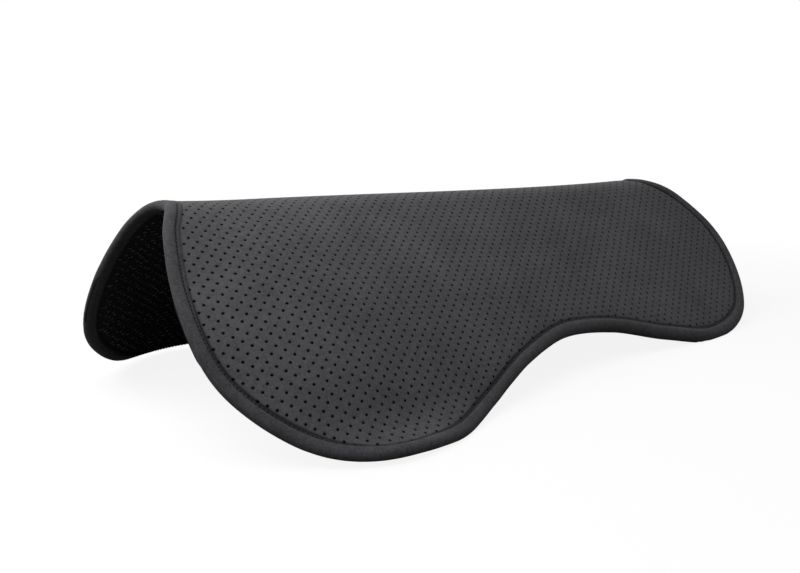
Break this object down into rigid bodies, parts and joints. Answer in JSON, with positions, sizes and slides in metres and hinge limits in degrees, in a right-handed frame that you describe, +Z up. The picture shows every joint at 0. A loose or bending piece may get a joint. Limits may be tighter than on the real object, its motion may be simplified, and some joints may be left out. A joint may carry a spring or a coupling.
{
  "type": "non-slip saddle pad",
  "caption": "Draped non-slip half pad for under a saddle: perforated cover, foam core, grip lining and a folded, stitched edge binding. It folds along the spine.",
  "frame": {"origin": "on the surface that the pad stands on, under the middle of its box", "axes": "+Z up, +Y along the spine towards the rear (loin) end, +X to the horse's left; X = 0 is the fold plane"},
  "size_m": [0.3768, 0.57, 0.1559],
  "materials": {
    "cover": "matt charcoal, perforated",
    "core": "closed-cell foam, matt",
    "grip_lining": "matt black grip mesh",
    "binding": "soft folded tape",
    "thread": "dull black sewing thread"
  },
  "bodies": {
    "left_side": {"left_cover": "cover", "left_core": "core", "left_grip_lining": "grip_lining", "left_binding": "binding", "left_needle_thread": "thread", "left_bobbin_thread": "thread"},
    "right_side": {"right_cover": "cover", "right_core": "core", "right_grip_lining": "grip_lining", "right_binding": "binding", "right_needle_thread": "thread", "right_bobbin_thread": "thread"}
  },
  "joints": [
    {"name": "spine_fold", "type": "hinge", "parent": "left_side", "child": "right_side", "pos_m": [0, -0.00636, 0.14064], "axis": [0, 0.9983, -0.0584], "range_deg": [-70, 70], "stiffness_Nm_per_rad": 5}
  ]
}
